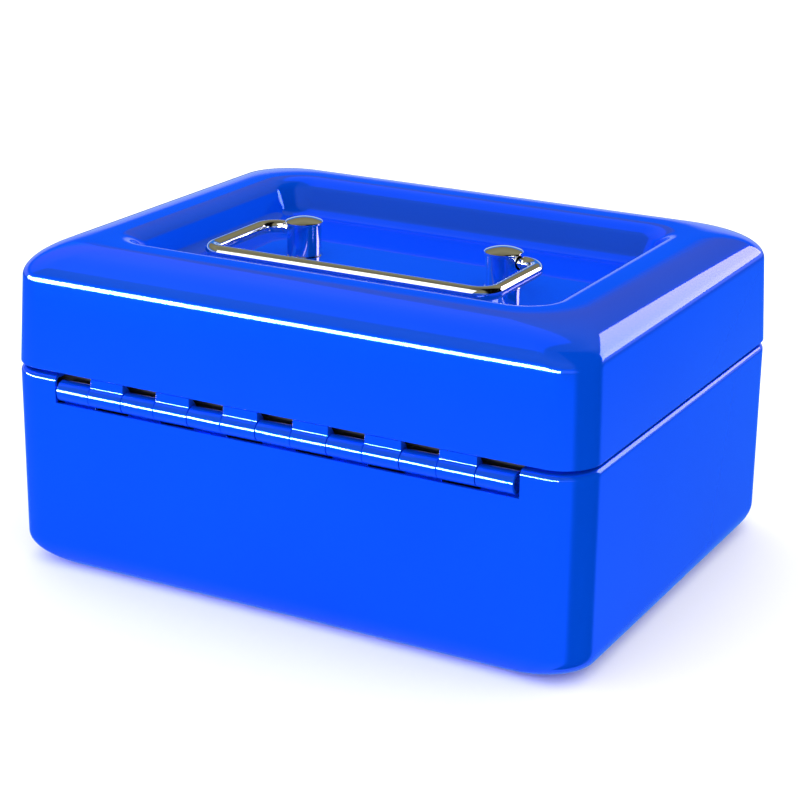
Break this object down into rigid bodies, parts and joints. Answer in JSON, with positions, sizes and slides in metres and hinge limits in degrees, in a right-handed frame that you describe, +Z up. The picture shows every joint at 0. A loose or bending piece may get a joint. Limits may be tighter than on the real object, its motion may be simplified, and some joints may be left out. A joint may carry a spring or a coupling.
{
  "type": "cash box",
  "caption": "Compact blue steel cash box with a dished hinged lid, folding wire handle, keyed hook lock and lift-out coin tray.",
  "frame": {"origin": "middle of the underside, on the surface that the box stands on", "axes": "+Z up; +X along the long side; -Y is the lock side and +Y the hinge side"},
  "size_m": [0.152, 0.1202, 0.0806],
  "materials": {
    "blue_paint": "high-gloss saturated blue enamel on pressed steel",
    "chrome": "bright nickel-chrome plating",
    "zinc_steel": "bright zinc-plated steel",
    "nickel": "nickel-plated lock plug",
    "brass": "stamped brass",
    "black_plastic": "moulded black plastic with a fine grain"
  },
  "bodies": {
    "base": {"base_shell": "blue_paint", "hinge_base_leaf": "blue_paint", "hinge_pin": "zinc_steel", "lock_housing": "chrome", "lock_nut": "zinc_steel"},
    "lid": {"lid_shell": "blue_paint", "hinge_lid_leaf": "blue_paint", "handle_post_left": "chrome", "handle_post_right": "chrome", "post_screws": "zinc_steel", "post_washers": "zinc_steel", "strike_plate": "zinc_steel"},
    "handle": {"handle_bail": "chrome"},
    "lock_core": {"lock_plug": "nickel", "lock_wafers": "brass", "wafer_springs": "zinc_steel", "lock_cam": "zinc_steel", "cam_washer": "zinc_steel", "cam_screw": "zinc_steel"},
    "tray": {"coin_tray": "black_plastic"}
  },
  "joints": [
    {"name": "lid_hinge", "type": "hinge", "parent": "base", "child": "lid", "pos_m": [0, 0.0575, 0.0463], "axis": [-1, 0, 0], "range_deg": [0, 110]},
    {"name": "handle_pivot", "type": "hinge", "parent": "lid", "child": "handle", "pos_m": [0, 0, 0.0772], "axis": [1, 0, 0], "range_deg": [-8, 188]},
    {"name": "lock_turn", "type": "hinge", "parent": "base", "child": "lock_core", "pos_m": [0, -0.055, 0.0335], "axis": [0, -1, 0], "range_deg": [0, 90]},
    {"name": "tray_lift", "type": "slide", "parent": "base", "child": "tray", "axis": [0, 0, 1], "range_m": [0, 0.008]}
  ]
}
